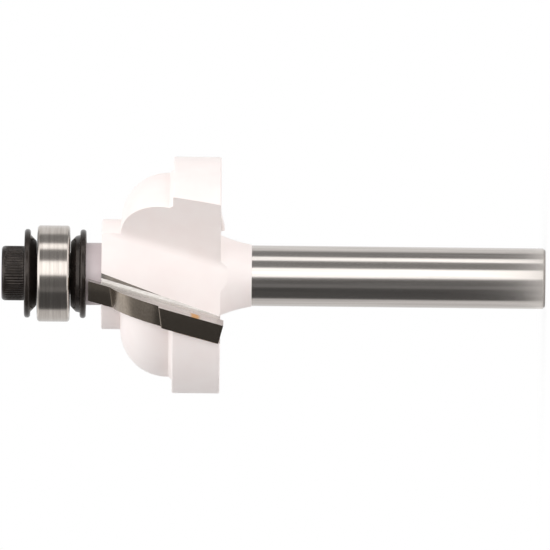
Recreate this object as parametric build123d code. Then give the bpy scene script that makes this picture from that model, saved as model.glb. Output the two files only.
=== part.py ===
from build123d import *

import math
import os

# Router bit with two carbide-tipped wings that cut a quarter-round cove between two small steps,
# guided by a ball bearing at the far end of the body. Units are millimetres.
# The bit stands on its shank: the origin is the centre of the shank's end face and +Z runs along
# the axis to the guide bearing. It cuts while turning counter-clockwise as seen from +Z.
# Wing a points to -Y, and wing b is the same wing half a turn on.

# Shank, and the hollow cone that joins it to the flange
shank_diameter = 8.0
shank_length = 38.7
shank_end_chamfer = 0.3
cone_step = 0.1
cone_rise = 1.2
cone_length = 4.1
cone_hollow = 0.14

# Turned body, from the flange up to the neck that carries the bearing
flange_radius = 15.6
flange_width = 6.3
land_width = 0.65
land_chamfer = 0.45
round_radius = 6.2
step_radius = 7.25
step_width = 2.54
neck_radius = 4.1
neck_length = 2.05
edge_chamfer = 0.25

# Chip gullets: flat floor, rake face and sloping wall, all sheared along the axis
gullet_floor_height = 4.84
gullet_floor_width = 7.15
gullet_root_radius = 0.8
rake_offset = 5.445
shear_angle = 15.6
rake_lean = 5.8
wall_angle = 44.0

# Run-out that the face-grinding wheel leaves in the gullet floor beside the rake face
run_out_width = 0.47
run_out_depth = 0.65
run_out_length = 8.1

# Carbide tips, their brazed pockets and the ground clearance behind the cutting edge
tip_thickness = 2.6
tip_proud = 1.1
tip_overhang = 1.7
tip_tail = 0.46
tip_tail_skew = 0.65
ledge_lead = 1.76
relief_angle = 8.0
tip_cove_lead = 0.29
tip_reach_front = 1.95
tip_reach_tail = 7.2
braze_gap = 0.12

# Guide bearing
bearing_outer_diameter = 12.7
bearing_width = 4.3
bearing_corner = 0.25
ball_fill = 0.462
ball_count = 7
race_depth = 0.3
shield_sheet = 0.25
shield_recess = 0.15
shield_seat = 0.3
cage_sheet = 0.22
cage_width = 0.8

# Dust washers beside the bearing
rear_washer_thickness = 2.14
front_washer_thickness = 1.7
washer_rim_radius = 5.85
washer_rim_thickness = 0.8
washer_hub_radius = 4.25
washer_cone_rise = 0.75
washer_cone_length = 0.7
washer_boss_height = 0.1

# Socket-head screw that clamps washers and bearing against the neck
screw_diameter = 4.0
screw_length = 14.0
screw_end_chamfer = 0.5
head_diameter = 7.2
head_height = 3.0
head_chamfer = 0.35
socket_width = 3.0
socket_depth = 2.0
tapped_hole_spare = 1.5
drill_point_angle = 118.0

# Clearances
screw_clearance = 0.02
ball_clearance = 0.02
cage_clearance = 0.03
shield_clearance = 0.1
press_clearance = 0.01

# Heights along the axis that follow from the sizes above
cone_top = shank_length + cone_length
flange_top = cone_top + flange_width
round_base = flange_top + land_width
body_top = round_base + round_radius + step_width
neck_top = body_top + neck_length
bearing_base = neck_top + rear_washer_thickness
bearing_middle = bearing_base + bearing_width / 2
bearing_top = bearing_base + bearing_width
head_base = bearing_top + front_washer_thickness
head_top = head_base + head_height

# Radii and distances from the mid-plane that follow
screw_radius = screw_diameter / 2
bore_radius = screw_radius + screw_clearance
bearing_radius = bearing_outer_diameter / 2
ball_radius = ball_fill * (bearing_radius - bore_radius) / 2
pitch_radius = (bore_radius + bearing_radius) / 2
groove_radius = ball_radius + ball_clearance
inner_shoulder = pitch_radius - groove_radius + race_depth
outer_shoulder = pitch_radius + groove_radius - race_depth
washer_boss_radius = (bore_radius + inner_shoulder) / 2
seat_height_front = step_radius - tip_reach_front
seat_height_tail = flange_radius - tip_reach_tail

# Slopes of the gullet faces
shear = math.tan(math.radians(shear_angle))
lean = math.tan(math.radians(rake_lean))
slant = math.sqrt(1 + shear ** 2 + lean ** 2)
into_tip = Vector(-1, lean, shear) / slant


def revolved(outline):
    """Closed outline of radius and height, turned about the Z axis."""
    return revolve(Plane.XZ * make_face(outline), Axis.Z)


def ring(points):
    """Turned ring from a closed outline of straight lines."""
    return revolved(Polyline(*points, close=True))


def corner(face, radius, height):
    """Vertex of a flat profile nearest to a radius and a height."""
    return face.vertices().sort_by_distance((radius, height, 0))[0]


def turned_body():
    """Shank, hollow cone, flange, quarter-round, step and neck in one turned profile."""
    shank_radius = shank_diameter / 2
    cone_start = shank_radius + cone_step
    cone_end = cone_start + cone_rise
    round_edge = step_radius + round_radius
    cone_middle = ((cone_start + cone_end) / 2 - cone_hollow, (shank_length + cone_top) / 2)
    shank = Polyline(
        (0, 0),
        (shank_radius - shank_end_chamfer, 0),
        (shank_radius, shank_end_chamfer),
        (shank_radius, shank_length),
        (cone_start, shank_length),
    )
    cone = ThreePointArc((cone_start, shank_length), cone_middle, (cone_end, cone_top))
    flange = Polyline(
        (cone_end, cone_top),
        (flange_radius, cone_top),
        (flange_radius, flange_top),
        (round_edge + land_chamfer, flange_top),
        (round_edge, flange_top + land_chamfer),
        (round_edge, round_base),
    )
    quarter_round = CenterArc((step_radius, round_base), round_radius, 0, 90)
    top = Polyline(
        (step_radius, round_base + round_radius),
        (step_radius, body_top),
        (neck_radius, body_top),
        (neck_radius, neck_top),
        (0, neck_top),
        (0, 0),
    )
    profile = make_face(shank + cone + flange + quarter_round + top)
    painted_edges = [
        corner(profile, flange_radius, cone_top),
        corner(profile, flange_radius, flange_top),
        corner(profile, step_radius, body_top),
    ]
    return revolve(Plane.XZ * chamfer(painted_edges, edge_chamfer), Axis.Z)


def tapped_hole():
    """Hole for the screw, with the cone that the drill leaves at its bottom."""
    bottom = head_base - screw_length - tapped_hole_spare
    point = bore_radius / math.tan(math.radians(drill_point_angle / 2))
    return ring([(0, bottom - point), (bore_radius, bottom), (bore_radius, neck_top), (0, neck_top)])


def gullet():
    """Space in front of one tip: a sheared prism with the rake face, floor and wall as its sides."""
    reach = flange_radius
    wall = reach * math.tan(math.radians(wall_angle))
    base = shank_length
    rake_x = -rake_offset - shear * (cone_top - base)
    floor = -gullet_floor_height
    outline = Polyline(
        (rake_x, floor),
        (rake_x - lean * reach, floor - reach),
        (rake_x + gullet_floor_width + wall, floor - reach),
        (rake_x + gullet_floor_width, floor),
        close=True,
    )
    face = make_face(outline)
    face = fillet(corner(face, rake_x + gullet_floor_width, floor), gullet_root_radius)
    run = (neck_top - base) * math.sqrt(1 + shear ** 2)
    return extrude(Pos(0, 0, base) * face, amount=run, dir=(shear, 0, 1))


def face_point(outward, height, depth=0.0):
    """Point of the rake plane at a distance from the mid-plane and a height, or of a plane
    parallel to it at a depth inside the tip."""
    x = -rake_offset + shear * (height - cone_top) - lean * (outward - gullet_floor_height)
    return Vector(x - depth * slant, -outward, height)


def wheel_run_out():
    """Groove along the rake face: a flat as wide as the wheel's rim, and its bevel up to the floor.

    It is deepest at the body's top, and fades out at its length below."""
    rise = run_out_depth / run_out_length
    low = face_point(gullet_floor_height - run_out_depth, body_top)
    high = face_point(gullet_floor_height + run_out_depth, body_top)
    rim = low + Vector(run_out_width, 0, 0)
    bevel = rim + Vector(2 * run_out_depth, -2 * run_out_depth, 0)
    outline = Face(Wire.make_polygon([low, rim, bevel, high], close=True))
    run = Vector(shear + lean * rise, rise, 1) * run_out_length
    return extrude(outline, amount=run.length, dir=-run)


def edge_point(radius, height, depth=0.0):
    """Point of the same plane at a radius from the axis: the larger root of a quadratic."""
    at_axis = face_point(0.0, height, depth).X
    root = math.sqrt((at_axis * lean) ** 2 - (1 + lean ** 2) * (at_axis ** 2 - radius ** 2))
    return face_point((at_axis * lean + root) / (1 + lean ** 2), height, depth)


def seat_point(height, depth=0.0, below=0.0):
    """Point of the flat seat that carries the tip's inner edge, square to the rake plane."""
    tail = cone_top - tip_tail
    slope = (seat_height_front - seat_height_tail) / (body_top + tip_overhang - tail)
    start = face_point(seat_height_tail, tail)
    along = face_point(seat_height_tail + slope, tail + 1) - start
    inward = into_tip.cross(along).normalized()
    start = start + inward * below + into_tip * depth
    return start + along * ((height - start.Z) / along.Z)


def tip_outline(depth):
    """Outline of the carbide at a depth behind the rake face, smaller there by the relief."""
    relief = depth * math.tan(math.radians(relief_angle))
    front = body_top + tip_overhang
    tail = cone_top - tip_tail + tip_tail_skew * depth / tip_thickness
    ledge = flange_top + ledge_lead - relief
    step = step_radius + tip_proud - relief
    cove = round_radius + tip_proud - relief
    outer = flange_radius + tip_proud - relief
    cove_base = round_base + tip_cove_lead
    round_start = cove_base + math.sqrt(cove ** 2 - (step - step_radius) ** 2)
    round_end = step_radius + math.sqrt(cove ** 2 - (ledge - cove_base) ** 2)
    half = math.sqrt(0.5) * cove
    middle = edge_point(step_radius + half, cove_base + half, depth)
    arc_start = edge_point(step, round_start, depth)
    arc_end = edge_point(round_end, ledge, depth)
    corners = [
        arc_end,
        edge_point(outer, ledge, depth),
        edge_point(outer, tail, depth),
        seat_point(tail, depth),
        seat_point(front, depth),
        edge_point(step, front, depth),
        arc_start,
    ]
    edges = [Edge.make_line(a, b) for a, b in zip(corners, corners[1:])]
    edges.append(Edge.make_three_point_arc(arc_start, middle, arc_end))
    return Face(Wire(edges))


def carbide_tip():
    """Flat carbide tip with its profile ground on, relieved behind the cutting edge."""
    return loft([tip_outline(0.0), tip_outline(tip_thickness)], ruled=True)


def pocket(gap, high):
    """Space for a tip in the steel up to a height, larger by a gap at the tip's back and seat."""
    low = cone_top - tip_tail - tip_thickness
    reach = flange_radius + 2 * tip_proud
    corners = [
        seat_point(low, below=gap),
        seat_point(high, below=gap),
        face_point(reach, high),
        face_point(reach, low),
    ]
    outline = Face(Wire.make_polygon(corners, close=True))
    return extrude(outline, amount=tip_thickness + gap, dir=into_tip)


def both_wings(shape):
    """The same shape for wing a and, half a turn on, for wing b."""
    return [shape, Rot(0, 0, 180) * shape]


def dust_washer(thickness):
    """Washer with a rim and a conical hub; its small boss bears on the bearing's inner ring only.

    Its bearing side is at height zero and its other side faces up."""
    hub_length = thickness - washer_rim_thickness
    cone_end = washer_hub_radius + washer_cone_rise
    rim_break = washer_rim_thickness / 4
    return ring([
        (bore_radius, 0),
        (washer_boss_radius, 0),
        (washer_boss_radius, washer_boss_height),
        (washer_hub_radius, washer_boss_height),
        (cone_end, washer_boss_height + washer_cone_length),
        (cone_end, hub_length),
        (washer_rim_radius - rim_break, hub_length),
        (washer_rim_radius, hub_length + rim_break),
        (washer_rim_radius, thickness - rim_break),
        (washer_rim_radius - rim_break, thickness),
        (bore_radius, thickness),
    ])


def race_groove():
    """Ball track cut into both rings."""
    return Torus(pitch_radius, groove_radius)


def bearing_outer_ring():
    """Ring that runs along the workpiece, stepped at both ends to take the shields."""
    half = bearing_width / 2
    seat = half - shield_recess - shield_sheet
    step = outer_shoulder + shield_seat
    blank = ring([
        (step, half),
        (bearing_radius - bearing_corner, half),
        (bearing_radius, half - bearing_corner),
        (bearing_radius, bearing_corner - half),
        (bearing_radius - bearing_corner, -half),
        (step, -half),
        (step, -seat),
        (outer_shoulder, -seat),
        (outer_shoulder, seat),
        (step, seat),
    ])
    return blank - race_groove()


def bearing_inner_ring():
    """Ring that the screw clamps between the two washers."""
    half = bearing_width / 2
    corner_break = bearing_corner / 2
    blank = ring([
        (bore_radius + corner_break, half),
        (inner_shoulder, half),
        (inner_shoulder, -half),
        (bore_radius + corner_break, -half),
        (bore_radius, corner_break - half),
        (bore_radius, half - corner_break),
    ])
    return blank - race_groove()


def bearing_shield():
    """Sheet ring that closes one side of the bearing and just clears the inner ring."""
    outer = outer_shoulder + shield_seat - press_clearance
    inner = inner_shoulder + shield_clearance
    base = bearing_width / 2 - shield_recess - shield_sheet
    top = base + shield_sheet
    return ring([(inner, base), (outer, base), (outer, top), (inner, top)])


def ball_places():
    """Centres of the balls, spaced evenly on the pitch circle."""
    return PolarLocations(pitch_radius, ball_count)


def bearing_cage():
    """Upper half of the pressed ball cage: a ribbon with flat lands and a bend over each ball."""
    pocket_radius = ball_radius + cage_clearance
    bend_radius = pocket_radius + cage_sheet
    low, high = pitch_radius - cage_width / 2, pitch_radius + cage_width / 2
    band = ring([(low, 0), (high, 0), (high, bend_radius), (low, bend_radius)])
    lands = ring([(low, 0), (high, 0), (high, cage_sheet), (low, cage_sheet)])
    across = Rot(0, 90, 0)
    bends = [place * across * Cylinder(bend_radius, 2 * cage_width) for place in ball_places()]
    pockets = [place * across * Cylinder(pocket_radius, 2 * cage_width) for place in ball_places()]
    return (lands + bends - pockets) & band


def pilot_screw():
    """Screw with a cylindrical head, a hexagon socket and a plain shank."""
    end = head_base - screw_length
    head_radius = head_diameter / 2
    profile = make_face(Polyline(
        (0, end),
        (screw_radius - screw_end_chamfer, end),
        (screw_radius, end + screw_end_chamfer),
        (screw_radius, head_base),
        (head_radius, head_base),
        (head_radius, head_top),
        (0, head_top),
        close=True,
    ))
    profile = chamfer(corner(profile, head_radius, head_top), head_chamfer)
    hexagon = RegularPolygon(socket_width / 2, 6, major_radius=False)
    socket = Pos(0, 0, head_top - socket_depth) * extrude(hexagon, amount=socket_depth)
    return revolve(Plane.XZ * profile, Axis.Z) - socket


def router_bit():
    """Every piece of the bit, by name."""
    blank = turned_body()
    for cut in both_wings(gullet()) + both_wings(wheel_run_out()):
        blank -= cut
    joint = pocket(braze_gap, body_top) - pocket(0.0, neck_top)
    brazes = [blank & layer for layer in both_wings(joint)]
    body = blank - tapped_hole()
    for cut in both_wings(pocket(braze_gap, neck_top)):
        body -= cut
    tips = both_wings(carbide_tip())
    bearing = Pos(0, 0, bearing_middle)
    over = Rot(180, 0, 0)
    pieces = {
        "tool_body": body,
        "carbide_tip_a": tips[0],
        "carbide_tip_b": tips[1],
        "braze_a": brazes[0],
        "braze_b": brazes[1],
        "bearing_outer_ring": bearing * bearing_outer_ring(),
        "bearing_inner_ring": bearing * bearing_inner_ring(),
        "bearing_shield_front": bearing * bearing_shield(),
        "bearing_shield_rear": bearing * over * bearing_shield(),
        "bearing_cage_front": bearing * bearing_cage(),
        "bearing_cage_rear": bearing * over * bearing_cage(),
        "dust_washer_front": Pos(0, 0, bearing_top) * dust_washer(front_washer_thickness),
        "dust_washer_rear": Pos(0, 0, bearing_base) * over * dust_washer(rear_washer_thickness),
        "pilot_screw": pilot_screw(),
    }
    for number, place in enumerate(ball_places(), start=1):
        pieces[f"bearing_ball_{number}"] = bearing * place * Sphere(ball_radius)
    return pieces


os.makedirs("parts", exist_ok=True)
for name, piece in router_bit().items():
    piece.label = name
    export_step(piece, f"parts/{name}.step")
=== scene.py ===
import math

import bmesh
import bpy
import numpy as np
from mathutils import Matrix, Vector


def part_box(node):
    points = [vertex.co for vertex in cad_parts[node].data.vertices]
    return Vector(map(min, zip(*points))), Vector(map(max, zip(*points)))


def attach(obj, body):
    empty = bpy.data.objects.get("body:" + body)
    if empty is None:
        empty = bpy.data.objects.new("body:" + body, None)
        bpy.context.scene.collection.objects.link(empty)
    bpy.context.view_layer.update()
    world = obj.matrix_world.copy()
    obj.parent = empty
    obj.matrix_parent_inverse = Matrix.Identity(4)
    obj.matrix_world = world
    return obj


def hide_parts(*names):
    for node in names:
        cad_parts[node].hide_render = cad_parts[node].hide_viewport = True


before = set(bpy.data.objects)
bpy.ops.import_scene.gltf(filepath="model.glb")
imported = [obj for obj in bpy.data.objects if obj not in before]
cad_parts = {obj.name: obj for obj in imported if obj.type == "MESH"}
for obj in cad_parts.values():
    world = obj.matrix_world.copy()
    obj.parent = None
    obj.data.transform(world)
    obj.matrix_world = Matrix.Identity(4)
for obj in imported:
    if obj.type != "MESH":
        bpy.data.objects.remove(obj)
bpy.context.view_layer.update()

# Router bit for a hand router: a cutter body painted a creamy pinkish white on a bare polished
# shank, two dark carbide tips, and a guide bearing between two black washers under a black screw.
# Metres, standing on the shank's end, with the bearing up. Wing a faces -Y.

MM = 0.001


# Sizes taken from the frame

def low(node):
    """Lowest corner of a frame node's box."""
    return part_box(node)[0]


def high(node):
    """Highest corner of a frame node's box."""
    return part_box(node)[1]


bearing_radius = high("bearing_outer_ring").x
bearing_base = low("bearing_outer_ring").z
bearing_top = high("bearing_outer_ring").z
bore_radius = 2.02 * MM
rear_washer_base = low("dust_washer_rear").z
front_washer_top = high("dust_washer_front").z
washer_radius = high("dust_washer_front").x
head_radius = high("pilot_screw").x
head_base = front_washer_top
head_top = high("pilot_screw").z
screw_end = low("pilot_screw").z

# Body sizes, in metres
shank_radius = 4.0 * MM
shank_length = 38.7 * MM
shank_chamfer = 0.3 * MM
cone_step = 0.1 * MM
cone_rise = 1.2 * MM
cone_length = 4.1 * MM
cone_hollow = 0.14 * MM
flange_radius = high("tool_body").x
flange_width = 6.3 * MM
land_width = 0.65 * MM
land_chamfer = 0.45 * MM
round_radius = 6.2 * MM
step_radius = 7.25 * MM
step_width = 2.54 * MM
neck_radius = 4.1 * MM
cone_top = shank_length + cone_length
flange_top = cone_top + flange_width
round_base = flange_top + land_width
body_top = round_base + round_radius + step_width
neck_top = rear_washer_base

# Gullet and tip sizes
floor_height = 4.84 * MM
floor_width = 7.15 * MM
root_radius = 0.8 * MM
rake_offset = 5.445 * MM
shear = math.tan(math.radians(15.6))
lean = math.tan(math.radians(5.8))
slant = math.sqrt(1 + shear ** 2 + lean ** 2)
wall_slope = math.tan(math.radians(44.0))
run_out_width = 0.47 * MM
run_out_depth = 0.65 * MM
run_out_length = 8.1 * MM
run_out_taper = 7.0 * MM
tip_thickness = 2.6 * MM
tip_proud = 1.1 * MM
tip_overhang = 1.7 * MM
tip_tail = 0.46 * MM
tip_tail_skew = 0.65 * MM
tip_cove_lead = 0.29 * MM
ledge_lead = 1.76 * MM
relief = math.tan(math.radians(8.0))
seat_front = 5.3 * MM
seat_tail = 8.4 * MM


# Meshes from arrays

def piece(name, points, faces, node_body, finishes, replaced=(), sharp=35.0, which=None):
    """One closed mesh from an array of points and a list of faces, riding on a body.

    Doubled points are merged, faces turned outwards and shading split at edges over an angle.
    With several finishes, which gives each face the number of its own."""
    mesh = bpy.data.meshes.new(name)
    mesh.from_pydata(points.reshape(-1, 3).tolist(), [], faces)
    obj = bpy.data.objects.new(name, mesh)
    bpy.context.scene.collection.objects.link(obj)
    for finish in finishes:
        mesh.materials.append(finish)
    if which is not None:
        mesh.polygons.foreach_set("material_index", which)
    merge_doubles(mesh)
    mesh.polygons.foreach_set("use_smooth", np.ones(len(mesh.polygons), bool))
    mesh.set_sharp_from_angle(angle=math.radians(sharp))
    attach(obj, node_body)
    if replaced:
        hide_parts(*replaced)


def merge_doubles(mesh, distance=1e-7):
    """Points closer than a distance become one, empty faces go, and faces turn outwards."""
    work = bmesh.new()
    work.from_mesh(mesh)
    bmesh.ops.remove_doubles(work, verts=work.verts, dist=distance)
    bmesh.ops.dissolve_degenerate(work, edges=work.edges, dist=distance)
    bmesh.ops.recalc_face_normals(work, faces=work.faces)
    work.to_mesh(mesh)
    work.free()


def grid_faces(rows, columns, wrap_rows=False, wrap_columns=True):
    """Quads of a grid of points, as an index array, closed on itself where asked."""
    row = np.arange(rows if wrap_rows else rows - 1)
    column = np.arange(columns if wrap_columns else columns - 1)
    r, c = np.meshgrid(row, column, indexing="ij")
    r2, c2 = (r + 1) % rows, (c + 1) % columns
    quads = np.stack([r * columns + c, r * columns + c2, r2 * columns + c2, r2 * columns + c], -1)
    return quads.reshape(-1, 4).tolist()


def softened(corners, radii, steps=6):
    """Closed outline with each corner rounded by an arc tangent to both of its sides.

    The arc's centre lies on the bisector, and its points turn evenly from one side's normal to
    the other's."""
    corners = np.asarray(corners, float)
    out = []
    for i, radius in enumerate(radii):
        here, before, after = corners[i], corners[i - 1], corners[(i + 1) % len(corners)]
        if radius == 0:
            out.append(here[None])
            continue
        a, b = before - here, after - here
        a, b = a / np.linalg.norm(a), b / np.linalg.norm(b)
        half = math.acos(np.clip(a @ b, -1, 1)) / 2
        centre = here + (a + b) / np.linalg.norm(a + b) * radius / math.sin(half)
        start = here + a * radius / math.tan(half) - centre
        end = here + b * radius / math.tan(half) - centre
        turn = math.pi - 2 * half
        t = np.linspace(0, 1, steps + 1)[:, None]
        swept = np.sin((1 - t) * turn) * start + np.sin(t * turn) * end
        out.append(centre + swept / math.sin(turn))
    return np.concatenate(out)


def turned(name, outline, node_body, finish, replaced, segments=160):
    """Ring of revolution from a closed outline of radius r and height z.

    Each point of the outline goes round the axis: (r cos a, r sin a, z)."""
    angle = np.linspace(0, 2 * math.pi, segments, endpoint=False)
    r, z = outline[:, :1], outline[:, 1:]
    points = np.stack([r * np.cos(angle), r * np.sin(angle), z * np.ones_like(angle)], -1)
    faces = grid_faces(len(outline), segments, wrap_rows=True)
    piece(name, points, faces, node_body, [finish], replaced)


# Materials

def linear(code):
    """Linear colour with alpha 1 from an sRGB hex code."""
    values = [int(code[i:i + 2], 16) / 255 for i in (1, 3, 5)]
    return [v / 12.92 if v <= 0.04045 else ((v + 0.055) / 1.055) ** 2.4 for v in values] + [1.0]


def wire(tree, node, inputs):
    """Gives a node's inputs their values or links; a node given stands for its first output."""
    for socket, value in inputs.items():
        if isinstance(value, bpy.types.Node):
            value = value.outputs[0]
        if isinstance(value, bpy.types.NodeSocket):
            tree.links.new(value, node.inputs[socket])
        else:
            node.inputs[socket].default_value = value


def add(tree, kind, inputs=None, stops=(), **settings):
    """Adds a node with its settings, its inputs and, on a ramp, its stops.

    A stop is a position with a hex colour or with a grey level of light."""
    node = tree.nodes.new(kind)
    for key, value in settings.items():
        setattr(node, key, value)
    wire(tree, node, inputs or {})
    while stops and len(node.color_ramp.elements) < len(stops):
        node.color_ramp.elements.new(0.5)
    for index, (position, colour) in enumerate(stops):
        element = node.color_ramp.elements[index]
        element.position = position
        element.color = linear(colour) if isinstance(colour, str) else (colour, colour, colour, 1)
    return node


def material(name, **settings):
    """New material with some of its shader's values; returns it, its tree, shader and place.

    The place is the Object coordinates, in metres."""
    made = bpy.data.materials.new(name)
    made.use_nodes = True
    tree = made.node_tree
    shader = tree.nodes["Principled BSDF"]
    wire(tree, shader, settings)
    return made, tree, shader, add(tree, "ShaderNodeTexCoord").outputs["Object"]


def grain(tree, place, size, detail=3.0, stretch=(1, 1, 1)):
    """Uneven pattern with features of about a size in metres, over the number for each axis."""
    scaled = add(tree, "ShaderNodeMapping", {"Vector": place, "Scale": [s / size for s in stretch]})
    return add(tree, "ShaderNodeTexNoise", {"Vector": scaled, "Scale": 1.0, "Detail": detail})


def body_finish():
    """Tool steel, sprayed with a stoved lacquer above the shank and polished bare on it.

    The lacquer is a warm white with a hint of pink and a soft gloss, thinner and greyer on the
    neck. The shank mirrors the room in long bands, with faint lines round it, which are drawn
    0.25 mm wide, because real ones of some 0.02 mm are too fine to show."""
    made, tree, shader, place = material("lacquered_tool_steel")
    height = add(tree, "ShaderNodeSeparateXYZ", {"Vector": place}).outputs["Z"]
    painted = add(tree, "ShaderNodeMath", {0: height, 1: shank_length - 0.01 * MM},
                  operation="GREATER_THAN")
    mottle = grain(tree, place, 3 * MM, 4.0)
    full = add(tree, "ShaderNodeValToRGB", {"Fac": mottle},
               [(0.3, "#FBF0ED"), (0.7, "#FDF4F1")])
    thin = add(tree, "ShaderNodeValToRGB", {"Fac": mottle},
               [(0.3, "#DCCFD1"), (0.7, "#E4D8D9")])
    on_neck = add(tree, "ShaderNodeMath", {0: height, 1: body_top + 0.02 * MM},
                  operation="GREATER_THAN")
    lacquer = add(tree, "ShaderNodeMix", {0: on_neck, 6: full, 7: thin}, data_type="RGBA")
    scratches = grain(tree, place, 0.4 * MM, 2.0, (1, 1, 0.02))
    steel = add(tree, "ShaderNodeValToRGB", {"Fac": scratches},
                [(0.35, "#C6C0BB"), (0.65, "#D2CCC7")])
    colour = add(tree, "ShaderNodeMix", {0: painted, 6: steel, 7: lacquer.outputs[2]},
                 data_type="RGBA")
    bare = add(tree, "ShaderNodeMath", {0: 1.0, 1: painted}, operation="SUBTRACT")
    rough = add(tree, "ShaderNodeMapRange", {"Value": painted, "To Min": 0.16, "To Max": 0.42})
    lines = grain(tree, place, 0.25 * MM, 2.0, (0.05, 0.05, 1))
    relief = add(tree, "ShaderNodeBump", {"Height": lines, "Strength": 0.03, "Distance": 0.02 * MM})
    wire(tree, shader, {"Base Color": colour.outputs[2], "Metallic": bare, "Roughness": rough,
                        "Normal": relief})
    return made


def ground_finish():
    """Bare tool steel beside the rake face, cut clean by the grinding wheel after painting.

    The wheel's lines of some 0.02 mm are drawn 0.12 mm wide, so that they show."""
    made, tree, shader, place = material("freshly_ground_steel", Metallic=1.0, Roughness=0.3)
    lines = grain(tree, place, 0.12 * MM, 2.0, (1, 1, 0.1))
    colour = add(tree, "ShaderNodeValToRGB", {"Fac": lines}, [(0.3, "#B5B0AB"), (0.7, "#D2CECA")])
    relief = add(tree, "ShaderNodeBump", {"Height": lines, "Strength": 0.15, "Distance": 0.02 * MM})
    wire(tree, shader, {"Base Color": colour, "Normal": relief})
    return made


def carbide_finish():
    """Sintered tungsten carbide, ground with a diamond wheel: a warm dark grey metal.

    The diamond grit's lines of some 0.02 mm are drawn 0.12 mm wide, so that they show."""
    made, tree, shader, place = material("ground_tungsten_carbide", Metallic=1.0, Roughness=0.24)
    mottle = grain(tree, place, 0.3 * MM, 4.0)
    colour = add(tree, "ShaderNodeValToRGB", {"Fac": mottle}, [(0.3, "#8F8478"), (0.7, "#9D9286")])
    lines = grain(tree, place, 0.12 * MM, 2.0, (1, 0.1, 0.1))
    relief = add(tree, "ShaderNodeBump", {"Height": lines, "Strength": 0.1, "Distance": 0.02 * MM})
    wire(tree, shader, {"Base Color": colour, "Normal": relief})
    return made


def rake_finish():
    """The tip's rake face: polished carbide with long streaks, and a smear of braze across it.

    The smear lies across the face at one height, give or take a wavy 0.8 mm, and fades in outwards
    from the axis."""
    smear_height, smear_wave = cone_top + 3.65 * MM, 0.8 * MM
    smear_core, smear_edge = 0.35 * MM, 0.75 * MM
    smear_start, smear_full = 10.2 * MM, 11.6 * MM
    made, tree, shader, place = material("polished_rake_face", Metallic=1.0, Roughness=0.2)
    streaks = grain(tree, place, 2.4 * MM, 3.0, (0.4, 1, 0.1))
    streaked = add(tree, "ShaderNodeValToRGB", {"Fac": streaks},
                   [(0.38, "#837C75"), (0.48, "#ACA59F"), (0.56, "#8B847D"), (0.66, "#C2BCB6")])
    split = add(tree, "ShaderNodeSeparateXYZ", {"Vector": place})
    wavy = grain(tree, place, 0.8 * MM)
    shifted = add(tree, "ShaderNodeMath", {0: wavy, 1: smear_wave, 2: split.outputs["Z"]},
                  operation="MULTIPLY_ADD")
    off = add(tree, "ShaderNodeMath", {0: shifted, 1: smear_height}, operation="SUBTRACT")
    away = add(tree, "ShaderNodeMath", {0: off}, operation="ABSOLUTE")
    along = add(tree, "ShaderNodeMapRange", {"Value": away, "From Min": smear_core,
                                             "From Max": smear_edge, "To Min": 1.0, "To Max": 0.0})
    outward = add(tree, "ShaderNodeMath", {0: split.outputs["Y"]}, operation="ABSOLUTE")
    across = add(tree, "ShaderNodeMapRange", {"Value": outward, "From Min": smear_start,
                                              "From Max": smear_full})
    smear = add(tree, "ShaderNodeMath", {0: along, 1: across}, operation="MULTIPLY")
    brass = add(tree, "ShaderNodeValToRGB", {"Fac": wavy}, [(0.3, "#C48A48"), (0.7, "#E0AA66")])
    colour = add(tree, "ShaderNodeMix", {0: smear, 6: streaked, 7: brass}, data_type="RGBA")
    metal = add(tree, "ShaderNodeMapRange", {"Value": smear, "To Min": 1.0, "To Max": 0.25})
    rough = add(tree, "ShaderNodeMapRange", {"Value": smear, "To Min": 0.2, "To Max": 0.6})
    wire(tree, shader, {"Base Color": colour.outputs[2], "Metallic": metal, "Roughness": rough})
    return made


def sprayed_finish():
    """Carbide's brazed sides: bare above, and lacquered where the tail stands out of the pocket."""
    made, tree, shader, place = material("lacquered_carbide", Roughness=0.4)
    mottle = grain(tree, place, 1 * MM)
    height = add(tree, "ShaderNodeSeparateXYZ", {"Vector": place}).outputs["Z"]
    above = add(tree, "ShaderNodeMath", {0: height, 1: cone_top + 0.1 * MM},
                operation="GREATER_THAN")
    lacquer = add(tree, "ShaderNodeValToRGB", {"Fac": mottle}, [(0.3, "#F6ECE8"), (0.7, "#FAF1EE")])
    bare = add(tree, "ShaderNodeValToRGB", {"Fac": mottle}, [(0.3, "#8F8478"), (0.7, "#9D9286")])
    colour = add(tree, "ShaderNodeMix", {0: above, 6: lacquer, 7: bare}, data_type="RGBA")
    wire(tree, shader, {"Base Color": colour.outputs[2], "Metallic": above})
    return made


def braze_finish():
    """Silver braze alloy left as it froze: pale brass colour, slightly lumpy."""
    made, tree, shader, place = material("silver_braze", Metallic=0.9, Roughness=0.35)
    mottle = grain(tree, place, 0.5 * MM)
    colour = add(tree, "ShaderNodeValToRGB", {"Fac": mottle}, [(0.3, "#B98852"), (0.7, "#E2B67C")])
    lumps = grain(tree, place, 0.3 * MM)
    relief = add(tree, "ShaderNodeBump", {"Height": lumps, "Strength": 0.4, "Distance": 0.05 * MM})
    wire(tree, shader, {"Base Color": colour, "Normal": relief})
    return made


def bearing_finish():
    """Chromium bearing steel, through-feed ground: bright, with hair lines round the ring.

    The lines of some 0.02 mm are drawn 0.3 mm wide, so that they show."""
    made, tree, shader, place = material("ground_bearing_steel", Metallic=1.0, Roughness=0.17)
    lines = grain(tree, place, 0.3 * MM, 3.0, (0.04, 0.04, 1))
    colour = add(tree, "ShaderNodeValToRGB", {"Fac": lines}, [(0.3, "#B9B1AA"), (0.7, "#CCC5BE")])
    relief = add(tree, "ShaderNodeBump", {"Height": lines, "Strength": 0.03, "Distance": 0.02 * MM})
    wire(tree, shader, {"Base Color": colour, "Normal": relief})
    return made


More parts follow.
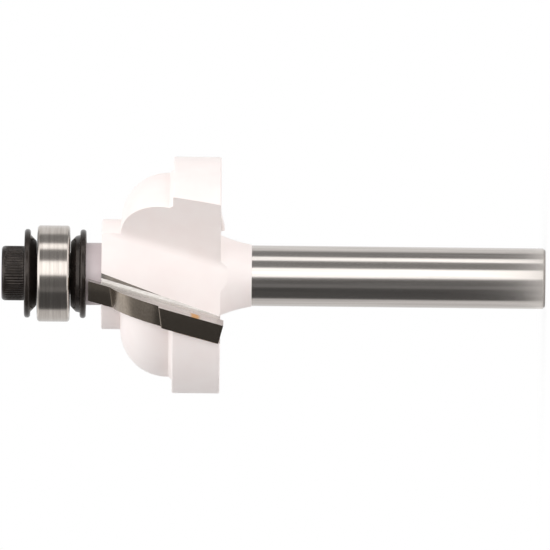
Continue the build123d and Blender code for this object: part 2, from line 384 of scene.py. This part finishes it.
def sheet_finish():
    """Cold-rolled sheet steel, pressed: grey and a little duller than the rings."""
    made, tree, shader, place = material("pressed_sheet_steel", Metallic=1.0, Roughness=0.35)
    mottle = grain(tree, place, 0.5 * MM)
    colour = add(tree, "ShaderNodeValToRGB", {"Fac": mottle}, [(0.3, "#A9A5A1"), (0.7, "#BDB9B5")])
    wire(tree, shader, {"Base Color": colour})
    return made


def ball_finish():
    """Lapped bearing balls: mirror bright with no grain to see."""
    made, tree, shader, place = material("lapped_steel", Metallic=1.0, Roughness=0.06)
    mottle = grain(tree, place, 1 * MM)
    colour = add(tree, "ShaderNodeValToRGB", {"Fac": mottle}, [(0.3, "#D5D3D1"), (0.7, "#DCDAD8")])
    wire(tree, shader, {"Base Color": colour})
    return made


def black_finish():
    """Black oxide on steel, oiled: warm black with a soft highlight.

    Its matt grain of some 0.03 mm is drawn 0.15 mm wide, so that it shows."""
    made, tree, shader, place = material("oiled_black_oxide", Metallic=0.5, Roughness=0.24)
    mottle = grain(tree, place, 0.6 * MM, 4.0)
    colour = add(tree, "ShaderNodeValToRGB", {"Fac": mottle}, [(0.3, "#2A2421"), (0.7, "#3A332E")])
    matt = grain(tree, place, 0.15 * MM, 3.0)
    relief = add(tree, "ShaderNodeBump", {"Height": matt, "Strength": 0.12, "Distance": 0.02 * MM})
    wire(tree, shader, {"Base Color": colour, "Normal": relief})
    return made


painted_steel = body_finish()
ground_steel = ground_finish()
carbide = carbide_finish()
sprayed_carbide = sprayed_finish()
rake_carbide = rake_finish()
braze = braze_finish()
ring_steel = bearing_finish()
sheet_steel = sheet_finish()
ball_steel = ball_finish()
black_oxide = black_finish()


# Cutter body

def arc(centre, radius, start, end, steps):
    """Points on an arc about a centre, from one angle in degrees to another."""
    a = np.radians(np.linspace(start, end, steps))
    return np.stack([centre[0] + radius * np.cos(a), centre[1] + radius * np.sin(a)], -1)


def bulge(start, end, hollow, steps):
    """Points on a shallow parabola from start to end, hollowed towards the axis."""
    t = np.linspace(0, 1, steps)[:, None]
    line = np.asarray(start) + t * (np.asarray(end) - np.asarray(start))
    return line - np.array([4 * hollow, 0]) * t * (1 - t)


def dense(points, longest):
    """The same open outline with its long spans divided so that none is over a length."""
    out = [points[:1]]
    for a, b in zip(points, points[1:]):
        count = max(1, math.ceil(np.linalg.norm(b - a) / longest))
        t = np.linspace(0, 1, count + 1)[1:, None]
        out.append(a + t * (b - a))
    return np.concatenate(out)


def body_outline():
    """Outline of the turned body from the centre of the shank's end to the neck's end."""
    soft, bevel = 0.22 * MM, 0.03 * MM
    cone_start = shank_radius + cone_step
    cone_end = cone_start + cone_rise
    round_edge = step_radius + round_radius
    land_edge = round_edge + land_chamfer
    runs = [
        np.array([[0, 0], [shank_radius - shank_chamfer, 0], [shank_radius, shank_chamfer]]),
        np.array([[shank_radius, shank_length], [cone_start - bevel, shank_length]]),
        bulge((cone_start, shank_length + bevel), (cone_end, cone_top), cone_hollow, 24),
        arc((flange_radius - soft, cone_top + soft), soft, -90, 0, 7),
        arc((flange_radius - soft, flange_top - soft), soft, 0, 90, 7),
        np.array([[land_edge, flange_top], [round_edge, flange_top + land_chamfer]]),
        arc((step_radius, round_base), round_radius, 0, 90, 48),
        arc((step_radius - soft, body_top - soft), soft, 0, 90, 7),
        np.array([[neck_radius, body_top], [neck_radius, neck_top], [0, neck_top]]),
    ]
    return dense(np.concatenate(runs), 0.45 * MM)


def plane_x(outward, height, depth=0.0):
    """X of the rake plane, or of a parallel plane at a depth inside the tip."""
    at_rake = -rake_offset + shear * (height - cone_top) - lean * (outward - floor_height)
    return at_rake - depth * slant


def seat_outward(height, back):
    """Distance from the mid-plane to the braze seat, at the rake plane or at the tip's back.

    The seat is square to the rake plane, so at the back it has moved along the plane's normal."""
    tail = cone_top - tip_tail
    slope = (seat_front - seat_tail) / (body_top + tip_overhang - tail)
    shift_out = -lean / slant * tip_thickness
    shift_up = shear / slant * tip_thickness
    at_rake = seat_tail + slope * (height - tail)
    return at_rake + (shift_out - slope * shift_up) * back


def gullet_path(height, samples):
    """Cross-section of one gullet and its tip's pocket at each height, from outside to outside.

    Straight runs join nine corners: outside at the pocket's back, seat at the back, seat at the
    rake face, foot of the rake face, rim of the wheel's run-out, top of its bevel, two corners at
    the wall's root and outside at the wall. The run-out fades out evenly below the body's top.
    The root's two corners are where an arc of its radius would meet the floor and the wall.
    Returns X and the distance outwards for every height and sample."""
    far = flange_radius * 1.3
    root_reach, root_rise = root_radius * 0.41, root_radius * 0.29
    seat_back = seat_outward(height, 1.0)
    seat_rake = seat_outward(height, 0.0)
    below = (body_top - height) / run_out_length
    depth = run_out_depth * np.clip(1 - below, 0, 1) * (below > -0.001)
    foot_x = plane_x(floor_height - depth, height)
    rim_x = foot_x + run_out_width * np.clip((height - cone_top) / run_out_taper, 0.02, 1)
    wall_x = plane_x(floor_height, height) + floor_width
    flat = np.ones_like(height)
    nodes = [
        (plane_x(far, height, tip_thickness), far * flat),
        (plane_x(seat_back, height, tip_thickness), seat_back),
        (plane_x(seat_rake, height), seat_rake),
        (foot_x, floor_height * flat - depth),
        (rim_x, floor_height * flat - depth),
        (rim_x + depth, floor_height * flat),
        (wall_x - root_reach, floor_height * flat),
        (wall_x + root_rise, (floor_height + root_rise) * flat),
        (wall_x + wall_slope * (far - floor_height), far * flat),
    ]
    x, out = [], []
    for (x0, o0), (x1, o1), count in zip(nodes, nodes[1:], samples):
        t = np.linspace(0, 1, count + 1)[None, :-1]
        x.append(x0[:, None] + t * (x1 - x0)[:, None])
        out.append(o0[:, None] + t * (o1 - o0)[:, None])
    x.append(nodes[-1][0][:, None])
    out.append(nodes[-1][1][:, None])
    return np.concatenate(x, 1), np.concatenate(out, 1)


def clip_to_circle(x, out, radius):
    """Moves the samples outside a circle to where the path crosses it.

    Between the last sample outside and the first inside, the crossing solves a quadratic; every
    sample before it, and likewise after the way out, is put on the crossing."""
    inside = x ** 2 + out ** 2 < radius[:, None] ** 2
    rows = np.arange(len(radius))
    count = x.shape[1]
    first = np.where(inside.any(1), inside.argmax(1), 0)
    last = np.where(inside.any(1), count - 1 - inside[:, ::-1].argmax(1), 0)
    crossings = []
    before_first, after_last = np.maximum(first - 1, 0), np.minimum(last + 1, count - 1)
    for outer, inner in ((before_first, first), (after_last, last)):
        ax, ay = x[rows, outer], out[rows, outer]
        dx, dy = x[rows, inner] - ax, out[rows, inner] - ay
        a = dx ** 2 + dy ** 2 + 1e-18
        b = 2 * (ax * dx + ay * dy)
        c = ax ** 2 + ay ** 2 - radius ** 2
        t = (-b - np.sqrt(np.maximum(b ** 2 - 4 * a * c, 0))) / (2 * a)
        crossings.append((ax + t * dx, ay + t * dy))
    index = np.arange(count)[None]
    before = index < first[:, None]
    after = index > last[:, None]
    (ex, ey), (lx, ly) = crossings
    x = np.where(before, ex[:, None], np.where(after, lx[:, None], x))
    out = np.where(before, ey[:, None], np.where(after, ly[:, None], out))
    return x, out, inside.any(1)


def cutter_body():
    """Surface of two parameters: along the turned outline, and round each cross-section.

    Round the section the path runs through a gullet, clipped to the circle of that radius, then
    along the circle to the other gullet, which is the same half a turn on. Where the circle is
    too small to meet a gullet, the samples lie on it in the directions of the nearest section
    that meets one. The path's third to fifth runs, along the rake face and the wheel's run-out,
    are bare ground steel."""
    outline = body_outline()
    radius, height = outline[:, 0], outline[:, 1]
    samples = [14, 6, 8, 4, 4, 12, 2, 30]
    x, out = gullet_path(height, samples)
    x, out, cut = clip_to_circle(x, out, radius)
    rows = np.arange(len(radius))
    nearest = np.abs(rows[:, None] - rows[cut][None]).argmin(1)
    around = np.arctan2(-out, x)[cut][nearest]
    x = np.where(cut[:, None], x, radius[:, None] * np.cos(around))
    y = np.where(cut[:, None], -out, radius[:, None] * np.sin(around))
    start = np.arctan2(y[:, -1], x[:, -1])
    end = np.arctan2(-y[:, 0], -x[:, 0])
    end = np.where(end < start, end + 2 * math.pi, end)
    t = np.linspace(0, 1, 90)[None, 1:-1]
    angle = start[:, None] + t * (end - start)[:, None]
    arc_x, arc_y = radius[:, None] * np.cos(angle), radius[:, None] * np.sin(angle)
    half_x, half_y = np.concatenate([x, arc_x], 1), np.concatenate([y, arc_y], 1)
    xs, ys = np.concatenate([half_x, -half_x], 1), np.concatenate([half_y, -half_y], 1)
    zs = np.broadcast_to(height[:, None], xs.shape)
    points = np.stack([xs, ys, zs], -1)
    faces = grid_faces(len(outline), xs.shape[1])
    column = np.tile(np.arange(half_x.shape[1]), 2)
    ground = (column >= sum(samples[:2])) & (column < sum(samples[:5]))
    which = (cut[:-1, None] & cut[1:, None] & ground).ravel().astype(int)
    piece("cutter_body", points, faces, "tool", [painted_steel, ground_steel],
          ["tool_body"], which=which)


cutter_body()


# Carbide tips

def edge_place(radius, height, depth):
    """Point of a rake-parallel plane at a radius: the larger root of the circle's quadratic."""
    at_axis = plane_x(0.0, height, depth)
    root = np.sqrt((at_axis * lean) ** 2 - (1 + lean ** 2) * (at_axis ** 2 - radius ** 2))
    outward = (at_axis * lean + root) / (1 + lean ** 2)
    return np.stack([plane_x(outward, height, depth), -outward, height * np.ones_like(outward)], -1)


def tip_section(depth):
    """Outline of the tip at one depth behind the rake face, less the relief ground behind it.

    It runs from the front over the fillet at the cove's root, the cove's arc and the ledge to the
    tail, and back along the seat. The fillet ends and the arc starts where the two meet."""
    less = depth * relief
    front = body_top + tip_overhang
    tail = cone_top - tip_tail + tip_tail_skew * depth / tip_thickness
    ledge = flange_top + ledge_lead - less
    step = step_radius + tip_proud - less
    cove = round_radius + tip_proud - less
    outer = flange_radius + tip_proud - less
    cove_base = round_base + tip_cove_lead
    top_angle = math.degrees(math.acos((step - step_radius) / cove))
    low_angle = math.degrees(math.asin((ledge - cove_base) / cove))
    root = cove_base + cove * math.sin(math.radians(top_angle))
    soft = 0.16 * MM
    fillet_end, cove_start = 262, top_angle - 1.5
    rim = np.concatenate([
        np.array([[step, front]]),
        arc((step + soft, root + soft), soft, 180, fillet_end, 6),
        arc((step_radius, cove_base), cove, cove_start, low_angle, 40),
        arc((outer - soft, ledge - soft), soft, 90, 0, 6),
        np.array([[outer, tail]]),
    ])
    rim = edge_place(rim[:, 0], rim[:, 1], depth)
    back = depth / tip_thickness
    ends = np.array([tail, front])
    seat = seat_outward(ends, back)
    inner = np.stack([plane_x(seat, ends, depth), -seat, ends], -1)
    return np.concatenate([rim, inner])


def carbide_tip(name, node, turn):
    """Solid between the tip's sections from the rake face to the back, turned about the axis.

    The faces at the tail and along the seat, two columns of the grid, and the back may carry
    lacquer. The rake face has its own finish, and the ground sides are bare carbide."""
    depths = np.linspace(0, tip_thickness, 5)
    points = np.stack([tip_section(d) for d in depths])
    points = points @ np.array(Matrix.Rotation(-turn, 3, "Z"))
    rows, columns = points.shape[:2]
    faces = grid_faces(rows, columns)
    faces.append(list(range(columns)))
    faces.append(list(range((rows - 1) * columns, rows * columns))[::-1])
    which = np.zeros(len(faces), int)
    which[columns - 3:-2:columns] = 1
    which[columns - 2:-2:columns] = 1
    which[-2:] = 2, 1
    piece(name, points, faces, "tool", [carbide, sprayed_carbide, rake_carbide],
          [node], sharp=20.0, which=which)


carbide_tip("carbide_tip_facing", "carbide_tip_a", 0.0)
carbide_tip("carbide_tip_opposite", "carbide_tip_b", math.pi)


# Guide bearing

def guide_ring():
    """Outer ring with a ground face, rounded corners and a step at each end for the shields."""
    inner, shoulder, seat = 5.2 * MM, 4.9 * MM, 0.4 * MM
    edge, corner = 0.06 * MM, 0.42 * MM
    corners = [
        (inner, bearing_base), (bearing_radius, bearing_base), (bearing_radius, bearing_top),
        (inner, bearing_top), (inner, bearing_top - seat), (shoulder, bearing_top - seat),
        (shoulder, bearing_base + seat), (inner, bearing_base + seat),
    ]
    radii = [edge, corner, corner, edge, 0, 0, 0, 0]
    turned("guide_ring", softened(corners, radii), "guide_ring", ring_steel,
           ["bearing_outer_ring"])


def inner_ring():
    """Inner ring with a rounded bore edge."""
    outer = high("bearing_inner_ring").x
    edge, soft = 0.05 * MM, 0.12 * MM
    corners = [
        (bore_radius, bearing_base), (outer, bearing_base),
        (outer, bearing_top), (bore_radius, bearing_top),
    ]
    turned("clamped_ring", softened(corners, [soft, edge, edge, soft]), "tool",
           ring_steel, ["bearing_inner_ring"])


def shield(name, node):
    """Pressed sheet shield with softened edges."""
    bottom, top = low(node).z, high(node).z
    inner, outer = 3.56 * MM, high(node).x
    soft = 0.05 * MM
    corners = [(inner, bottom), (outer, bottom), (outer, top), (inner, top)]
    turned(name, softened(corners, [soft] * 4), "guide_ring", sheet_steel, [node])


guide_ring()
inner_ring()
shield("shield_front", "bearing_shield_front")
shield("shield_rear", "bearing_shield_rear")

# Balls, cages and braze layers stay as the frame has them, with finishes of their own
kept_finishes = {"bearing_ball": ball_steel, "bearing_cage": sheet_steel, "braze": braze}
for node_name, node_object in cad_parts.items():
    for start, finish in kept_finishes.items():
        if node_name.startswith(start):
            node_object.data.materials.clear()
            node_object.data.materials.append(finish)


# Washers

def dust_washer(name, node, base, toward, thickness):
    """Washer with a boss, a conical hub, a rolled rim and a shallow groove in its outer face.

    Heights run from the bearing side, up or down the axis."""
    boss_radius, boss = 2.74 * MM, 0.1 * MM
    hub_radius, slope_radius, slope = 4.25 * MM, 5.0 * MM, 0.8 * MM
    rim_radius, rim = 5.12 * MM, thickness - 0.8 * MM
    groove_start, groove_end = (3.75 * MM, 3.9 * MM), (4.7 * MM, 5.2 * MM)
    groove = thickness - 0.2 * MM
    corners = np.array([
        (bore_radius, 0), (boss_radius, 0), (boss_radius, boss), (hub_radius, boss),
        (slope_radius, slope), (rim_radius, rim), (washer_radius, rim), (washer_radius, thickness),
        (groove_end[1], thickness), (groove_end[0], groove), (groove_start[1], groove),
        (groove_start[0], thickness), (bore_radius, thickness),
    ])
    radii = np.array([0, 0, 0, 0.15, 0.3, 0.12, 0.35, 0.35, 0.2, 0.1, 0.1, 0.05, 0]) * MM
    outline = softened(corners, radii)
    outline[:, 1] = base + toward * outline[:, 1]
    turned(name, outline, "tool", black_oxide, [node])


dust_washer("washer_front", "dust_washer_front", bearing_top, 1, front_washer_top - bearing_top)
dust_washer("washer_rear", "dust_washer_rear", bearing_base, -1, bearing_base - rear_washer_base)


# Screw

def hex_radius(angle, across):
    """Distance to a hexagon's side at an angle: half the width over the cosine from its normal."""
    sixth = math.pi / 3
    return across / 2 / np.cos((angle + sixth / 2) % sixth - sixth / 2)


def pilot_screw():
    """One surface from the screw's tip over shank, knurled head and hexagon socket to its bottom.

    Radius at an angle and a step along the outline is the outline's, less the knurl's groove on
    the head's side, and blends into the hexagon's inside the socket."""
    shaft, end_chamfer = 2.0 * MM, 0.5 * MM
    under, soft, clear = 0.1 * MM, 0.45 * MM, 0.05 * MM
    knurl_low, knurl_high = head_base + 0.2 * MM, head_top - 0.7 * MM
    grooves, groove_depth = 60, 0.07 * MM
    across, widened = 3.0 * MM, 1.06
    mouth_chamfer, socket, drill_cone = 0.12 * MM, 2.0 * MM, 0.5 * MM
    side = np.concatenate([
        np.array([
            [0, screw_end], [shaft - end_chamfer, screw_end], [shaft, screw_end + end_chamfer],
            [shaft, head_base], [head_radius - under, head_base], [head_radius, head_base + under],
            [head_radius, knurl_low + clear], [head_radius, knurl_high - clear],
        ]),
        arc((head_radius - soft, head_top - soft), soft, 0, 90, 9),
    ])
    side = dense(side, 0.35 * MM)
    radius, height = side[:, :1], side[:, 1:]
    angle = np.linspace(0, 2 * math.pi, 480, endpoint=False)
    knurled = (height > knurl_low) & (height < knurl_high) & (radius > shaft * 1.2)
    outer = radius - groove_depth / 2 * (1 - np.cos(grooves * angle)) * knurled
    mouth = hex_radius(angle, across)[None]
    r = np.concatenate([outer, mouth * widened, mouth, mouth, 0 * mouth])
    steps = head_top - np.array([0, mouth_chamfer, socket, socket + drill_cone])[:, None]
    z = np.concatenate([height, steps]) * np.ones_like(angle)
    points = np.stack([r * np.cos(angle), r * np.sin(angle), z], -1)
    faces = grid_faces(len(r), len(angle))
    piece("socket_head_screw", points, faces, "tool", [black_oxide], ["pilot_screw"])


pilot_screw()


# Floor, light and camera

def floor():
    """Round pale floor under the shank.

    To the camera it is plain white at the rim. A quarter of it turns to paper towards the shank,
    where it keeps the shadow."""
    size, near = 80 * MM, 20 * MM
    mesh = bpy.data.meshes.new("floor")
    angle = np.linspace(0, 2 * math.pi, 96, endpoint=False)
    flat = -0.02 * MM * np.ones_like(angle)
    rim = np.stack([size * np.cos(angle), size * np.sin(angle), flat], -1)
    mesh.from_pydata(rim.tolist(), [], [list(range(len(rim)))])
    ground = bpy.data.objects.new("floor", mesh)
    bpy.context.scene.collection.objects.link(ground)
    pale, tree, shader, place = material("pale_paper_floor", Roughness=0.8)
    mottle = grain(tree, place, 80 * MM)
    tint = add(tree, "ShaderNodeValToRGB", {"Fac": mottle}, [(0.3, "#F6F6F6"), (0.7, "#FAFAFA")])
    wire(tree, shader, {"Base Color": tint})
    seen = add(tree, "ShaderNodeLightPath").outputs["Is Camera Ray"]
    away = add(tree, "ShaderNodeVectorMath", {0: place}, operation="LENGTH").outputs["Value"]
    fade = add(tree, "ShaderNodeMapRange", {"Value": away, "From Min": near,
                                            "From Max": 0.95 * size, "To Min": 0.75, "To Max": 1.0})
    share = add(tree, "ShaderNodeMath", {0: seen, 1: fade}, operation="MULTIPLY")
    glow = add(tree, "ShaderNodeEmission", {"Color": (1, 1, 1, 1), "Strength": 1.0})
    both = add(tree, "ShaderNodeMixShader", {0: share, 1: shader, 2: glow})
    wire(tree, tree.nodes["Material Output"], {"Surface": both})
    mesh.materials.append(pale)


def round_the_room(levels):
    """Stops of a ramp from pairs of degrees round the axis and level of light."""
    return [((degrees + 180) / 360, level) for degrees, level in levels]


def room_light():
    """The world as a room of soft panels, by the direction round the bit's axis and by its rise.

    At the bit's height there are a wide panel in front, a strip beside it, pale walls behind, and
    darker gaps between them. Higher up the room is bright in front and dimmer behind, and overhead
    it is bright but for one gap. The direction is the angle whose tangent is X over minus Y, and
    the camera sees plain white."""
    world = bpy.data.worlds.new("studio")
    bpy.context.scene.world = world
    world.use_nodes = True
    tree = world.node_tree
    tree.nodes.clear()
    direction = add(tree, "ShaderNodeTexCoord").outputs["Generated"]
    split = add(tree, "ShaderNodeSeparateXYZ", {"Vector": direction})
    front = add(tree, "ShaderNodeMath", {0: split.outputs["Y"], 1: -1.0}, operation="MULTIPLY")
    turn = add(tree, "ShaderNodeMath", {0: split.outputs["X"], 1: front}, operation="ARCTAN2")
    share = add(tree, "ShaderNodeMapRange", {"Value": turn, "From Min": -math.pi,
                                             "From Max": math.pi})
    panels = add(tree, "ShaderNodeValToRGB", {"Fac": share}, round_the_room([
        (-180, 0.80), (-100, 0.75), (-94, 0.10), (-47, 0.09), (-43, 0.22), (-35, 0.22),
        (-31, 0.16), (-6, 0.18), (-2, 1.9), (28, 1.9), (32, 0.30), (59, 0.28), (63, 1.8),
        (75, 1.8), (79, 0.30), (106, 0.30), (114, 0.9), (180, 0.95),
    ]))
    ceiling = add(tree, "ShaderNodeValToRGB", {"Fac": share}, round_the_room([
        (-180, 1.0), (-116, 1.1), (-104, 0.35), (-46, 0.35), (-30, 1.85), (35, 1.85), (80, 1.25),
        (100, 0.4), (150, 0.4), (180, 1.0),
    ]))
    overhead = add(tree, "ShaderNodeValToRGB", {"Fac": share}, round_the_room([
        (-180, 2.3), (-142, 2.3), (-120, 0.9), (-55, 0.9), (-30, 2.3), (180, 2.3),
    ]))
    rise = add(tree, "ShaderNodeMath", {0: split.outputs["Z"]}, operation="ABSOLUTE")
    over = add(tree, "ShaderNodeMapRange", {"Value": rise, "From Min": 0.35, "From Max": 0.43})
    high_up = add(tree, "ShaderNodeMapRange", {"Value": rise, "From Min": 0.86, "From Max": 0.95})
    sides = add(tree, "ShaderNodeMix", {0: over, 6: panels, 7: ceiling}, data_type="RGBA")
    room = add(tree, "ShaderNodeMix", {0: high_up, 6: sides.outputs[2], 7: overhead},
               data_type="RGBA")
    light = add(tree, "ShaderNodeBackground", {"Color": room.outputs[2], "Strength": 1.0})
    white = add(tree, "ShaderNodeBackground", {"Color": (1, 1, 1, 1), "Strength": 1.0})
    seen = add(tree, "ShaderNodeLightPath").outputs["Is Camera Ray"]
    both = add(tree, "ShaderNodeMixShader", {0: seen, 1: light, 2: white})
    add(tree, "ShaderNodeOutputWorld", {"Surface": both})


def photo_camera():
    """Camera in front of wing a with the bearing to the left, rolled with the photograph.

    The axis rises by the roll's angle towards the bearing, and the shank's end is put on its
    place in the picture by moving the camera along its own right and up."""
    pixels = 550
    scale = 7.58 / MM
    distance = 2.5
    end_x, end_y = 545.0, 278.7
    roll = math.atan(5.2 / 489)
    data = bpy.data.cameras.new("photo_camera")
    camera = bpy.data.objects.new("photo_camera", data)
    bpy.context.scene.collection.objects.link(camera)
    data.sensor_width = 36.0
    data.lens = scale * data.sensor_width * distance / pixels
    data.clip_start, data.clip_end = 0.01, 10.0
    right = Vector((math.sin(roll), 0, -math.cos(roll)))
    up = Vector((math.cos(roll), 0, math.sin(roll)))
    back = right.cross(up)
    aim = right * ((pixels / 2 - end_x) / scale) + up * ((end_y - pixels / 2) / scale)
    facing = Matrix((right, up, back)).transposed().to_4x4()
    camera.matrix_world = Matrix.Translation(aim + back * distance) @ facing
    bpy.context.scene.camera = camera


floor()
room_light()
photo_camera()
bpy.context.scene.view_settings.view_transform = "Standard"
